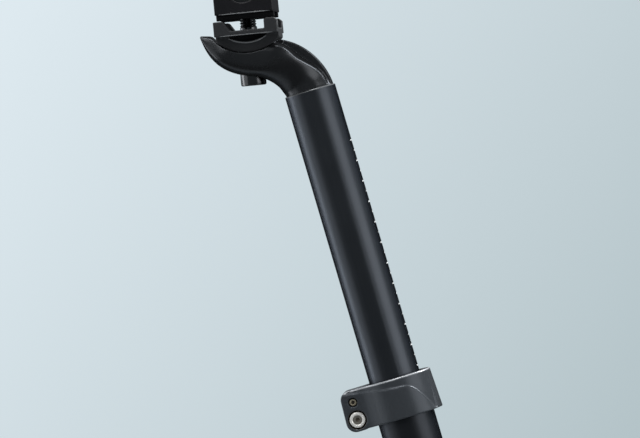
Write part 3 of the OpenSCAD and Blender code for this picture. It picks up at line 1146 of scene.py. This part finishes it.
@dataclass
class Suspension:
    """Outer tube, guide, seal, spring and preload parts."""

    mean: float = 9.7
    wire: float = 3.2
    low: float = -156.0
    high: float = -80.05
    turns: float = 8.5
    closed_pitch: float = 1.15
    split: float = 2.5
    travel: float = 40.0
    steps: int = 40
    sides: int = 14

    def height(self, k: float) -> float:
        """Height of the wire's middle, with closed ends.

        Args:
            k: turns counted from the plate.

        Returns:
            The height in millimetres.
        """
        close = self.closed_pitch * self.wire
        q = min(1.0, max(0.0, (k - 1) / (self.turns - 2)))
        slack = self.high - self.low - self.wire - 2 * close
        ends = close * (min(1.0, k) + max(0.0, k - self.turns + 1))
        return self.low + self.wire / 2 + ends + slack * q

    def coil(self, name: str, first: float, last: float) -> Obj:
        """Winds one stretch of the coil spring.

        Args:
            name: name of the piece.
            first: turn at which the stretch starts, counted from the plate.
            last: turn at which it ends.

        Returns:
            The stretch, not yet on a body.
        """
        ring = [around(self.wire / 2, a, 0) for a in turn(self.sides)]
        sections = []
        for i in range(int((last - first) * self.steps) + 1):
            k = first + i / self.steps
            z = self.height(k)
            sections.append([around(self.mean + dr, TURN * k, z + dz) for dr, dz, _ in ring])
        coil = make(name, lambda bm: loft(bm, sections))
        smooth(coil, 40.0)
        wear(coil, SPRING_STEEL)
        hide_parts("main_spring")
        LOG.info("wound %s", name)
        return coil

    def build(self) -> None:
        """Dresses the hidden parts and winds the spring.

        Its upper stretch rides on the outer tube; its lower stretch stays where it is wound, on no
        body.
        """
        for finish, nodes in (
                (OUTER_TUBE, ("lower_tube", "seal_cap")), (BUSH, ("guide_bush", "lower_bush")),
                (RUBBER, ("wiper_seal", "plug_o_ring", "top_out_ring")),
                (ELASTOMER, ("bump_stop",)), (BRASS, ("guide_pin_left", "guide_pin_right")),
                (BARE_ALLOY, ("bottom_ring", "spring_plate", "preload_plug", "foot_plug"))):
            for node in nodes:
                dress(node, finish)
        upper = self.coil("coil_spring", self.split, self.turns)
        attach(upper, "outer")
        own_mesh(upper)
        lower = self.coil("coil_spring_foot", 0.0, self.split)
        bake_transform(lower)


@dataclass(frozen=True)
class Lamp:
    """A soft rectangular lamp: its place in metres to the camera's right, up and back."""

    name: str
    place: Spot
    size: Point
    power: float


@dataclass
class Studio:
    """Camera at the photograph's angle, pale floor, lamps and world."""

    px: float = 2.13
    width: float = 640.0
    sensor: float = 36.0
    target: Spot = (-12.57, 0.0, 89.2)
    azimuth: float = 2.6
    elevation: float = 1.2
    tilt: float = 16.45
    distance: float = 2.5
    backdrop: Tuple[Colour, Colour] = ((0.73, 0.82, 0.87), (0.46, 0.55, 0.58))
    backdrop_axis: Point = (0.8, 0.6)
    backdrop_reach: Point = (-0.07, 0.07)
    dim: Colour = (0.8, 0.86, 0.9)
    dim_level: float = 0.35
    mirror: Colour = (0.8, 0.88, 0.93)
    mirror_stops: Path = ((0.0, 0.02), (0.07, 0.03), (0.14, 0.5), (0.3, 0.42), (0.8, 0.2))
    sky: float = 0.9
    sky_rise: Point = (0.05, 0.2)
    sky_behind: Point = (0.1, -0.4)
    floor: float = -176.0
    floor_r: float = 1.0
    floor_fade: Point = (0.4, 0.98)
    floor_stops: Path = ((0.43, 0.04), (0.58, 1.0), (0.66, 1.0), (0.78, 0.05))
    floor_glow: Colour = (0.86, 0.93, 0.97)
    floor_dark: float = 0.02
    lamps: Tuple[Lamp, ...] = (
        Lamp("key", (-0.7, 1.0, 1.3), (1.0, 1.0), 10.0),
        Lamp("right", (1.12, -0.1, 0.66), (1.1, 1.4), 11.0),
        Lamp("left", (-1.25, 0.0, -0.35), (0.5, 1.6), 10.0),
        Lamp("fill", (-1.3, 0.0, 0.4), (0.8, 1.6), 3.0),
        Lamp("ridge", (0.92, 1.02, -0.45), (0.6, 0.6), 24.0),
        Lamp("top", (-0.1, 1.4, 0.25), (0.9, 0.4), 12.0))

    def axes(self) -> Tuple[Vector, Vector, Vector]:
        """Directions of the camera, with the bike's upright as up.

        Returns:
            Its right, up and back.
        """
        lean = radians(self.tilt)
        up = Vector((sin(lean), 0, cos(lean)))
        ahead = Vector((cos(lean), 0, -sin(lean)))
        az, el = radians(self.azimuth), radians(self.elevation)
        level = sin(az) * ahead - cos(az) * Vector((0, 1, 0))
        back = (cos(el) * level + sin(el) * up).normalized()
        right = up.cross(back).normalized()
        return right, back.cross(right), back

    @staticmethod
    def stand(obj: Obj, place: Vector, axes: Sequence[Vector]) -> None:
        """Places an object along three axes."""
        obj.matrix_world = Matrix.Translation(place) @ Matrix(axes).transposed().to_4x4()

    def camera(self) -> None:
        """Makes the camera with the photograph's framing."""
        axes = self.axes()
        data = bpy.data.cameras.new("camera")
        data.sensor_width = self.sensor
        data.lens = self.sensor * self.distance / (self.width / self.px * MM)
        obj = new_piece("camera", data)
        self.stand(obj, Vector(self.target) * MM + axes[2] * self.distance, axes)
        bpy.context.scene.camera = obj

    def light(self) -> None:
        """Hangs the soft lamps around the view."""
        axes, aim = self.axes(), Vector(self.target) * MM
        for lamp in self.lamps:
            data = bpy.data.lights.new(lamp.name, "AREA")
            data.shape = "RECTANGLE"
            data.size, data.size_y = lamp.size
            data.energy = lamp.power
            offset = sum((reach * axis for reach, axis in zip(lamp.place, axes)), Vector())
            away = offset.normalized()
            side = axes[1].cross(away).normalized()
            self.stand(new_piece(lamp.name, data), aim + offset, (side, away.cross(side), away))

    def world(self) -> None:
        """Pale background for the camera and for reflections, dim light for the rest."""
        world = bpy.data.worlds.new("studio")
        bpy.context.scene.world = world
        world.use_nodes = True
        n = Nodes(world.node_tree)
        n.tree.nodes.clear()
        right, up, back = self.axes()
        ray = n.add("TexCoord").outputs["Generated"]
        across, down = self.backdrop_axis
        slope = n.dot(ray, right * across - up * down)
        share = n.spread(slope, self.backdrop_reach)
        seen = n.glow(n.blend(share, *[opaque(c) for c in self.backdrop]))
        facing = n.dot(ray, back)
        fade = n.ramp(n.spread(facing, BOTH_WAYS), self.mirror_stops)
        sky = n.spread(n.dot(ray, (0, 0, 1)), self.sky_rise, (0.0, self.sky))
        behind = n.spread(facing, self.sky_behind)
        mirror = n.glow(opaque(self.mirror), n.math("MULTIPLY_ADD", sky, behind, fade))
        path = n.add("LightPath").outputs
        lit = n.either(path["Is Glossy Ray"], n.glow(opaque(self.dim), self.dim_level), mirror)
        direct = n.math("MAXIMUM", path["Is Camera Ray"], path["Is Transmission Ray"])
        n.fill(n.add("OutputWorld"), {"Surface": n.either(direct, lit, seen)})

    def ground(self) -> None:
        """Lays the pale floor, which fades at its rim and is open to views from below.

        Reflections see it dark in front of the post and pale behind it.
        """
        floor = new_piece("floor", bpy.data.meshes.new("floor"))
        level = Matrix.Translation((0, 0, self.floor * MM))
        edit(floor, lambda bm: bmesh.ops.create_circle(
            bm, cap_ends=True, segments=ROUND, radius=self.floor_r, matrix=level))
        wear(floor, PALE_FLOOR)
        n = Nodes(floor.data.materials[0].node_tree)
        place = n.add("TexCoord").outputs["Object"]
        glossy = n.add("LightPath").outputs["Is Glossy Ray"]
        depth = n.fill(n.add("SeparateXYZ"), (place,)).outputs["Y"]
        shade = n.ramp(n.spread(depth, BOTH_WAYS), self.floor_stops)
        glow = n.blend(n.math("MULTIPLY", glossy, shade), grey(0.0), opaque(self.floor_glow))
        paint = n.skin().inputs["Base Color"].links[0].from_socket
        size = n.vector("LENGTH", n.vector("MULTIPLY", place, (1, 1, 0)), output="Value")
        rim = n.spread(size, self.floor_fade, (1.0, 0.0), "SMOOTHSTEP")
        below = n.add("NewGeometry").outputs["Backfacing"]
        n.fill(n.skin(), {"Emission Color": glow, "Emission Strength": 1.0,
                          "Base Color": n.blend(glossy, paint, grey(self.floor_dark)),
                          "Alpha": n.math("SUBTRACT", rim, below, clamp=True)})

    def build(self) -> None:
        """Sets the view transform and makes everything around the part."""
        bpy.context.scene.view_settings.view_transform = "Standard"
        self.camera()
        self.light()
        self.world()
        self.ground()
        LOG.info("set the studio")


def main() -> None:
    """Builds the studio and every sub-assembly."""
    logging.basicConfig(level=logging.INFO, format="%(message)s")
    Studio().build()
    for part in (Suspension(), SlidingTube(), HeadForging(), SaddleClamp(), Collar()):
        part.build()
    bpy.context.view_layer.update()


if __name__ == "__main__":
    main()
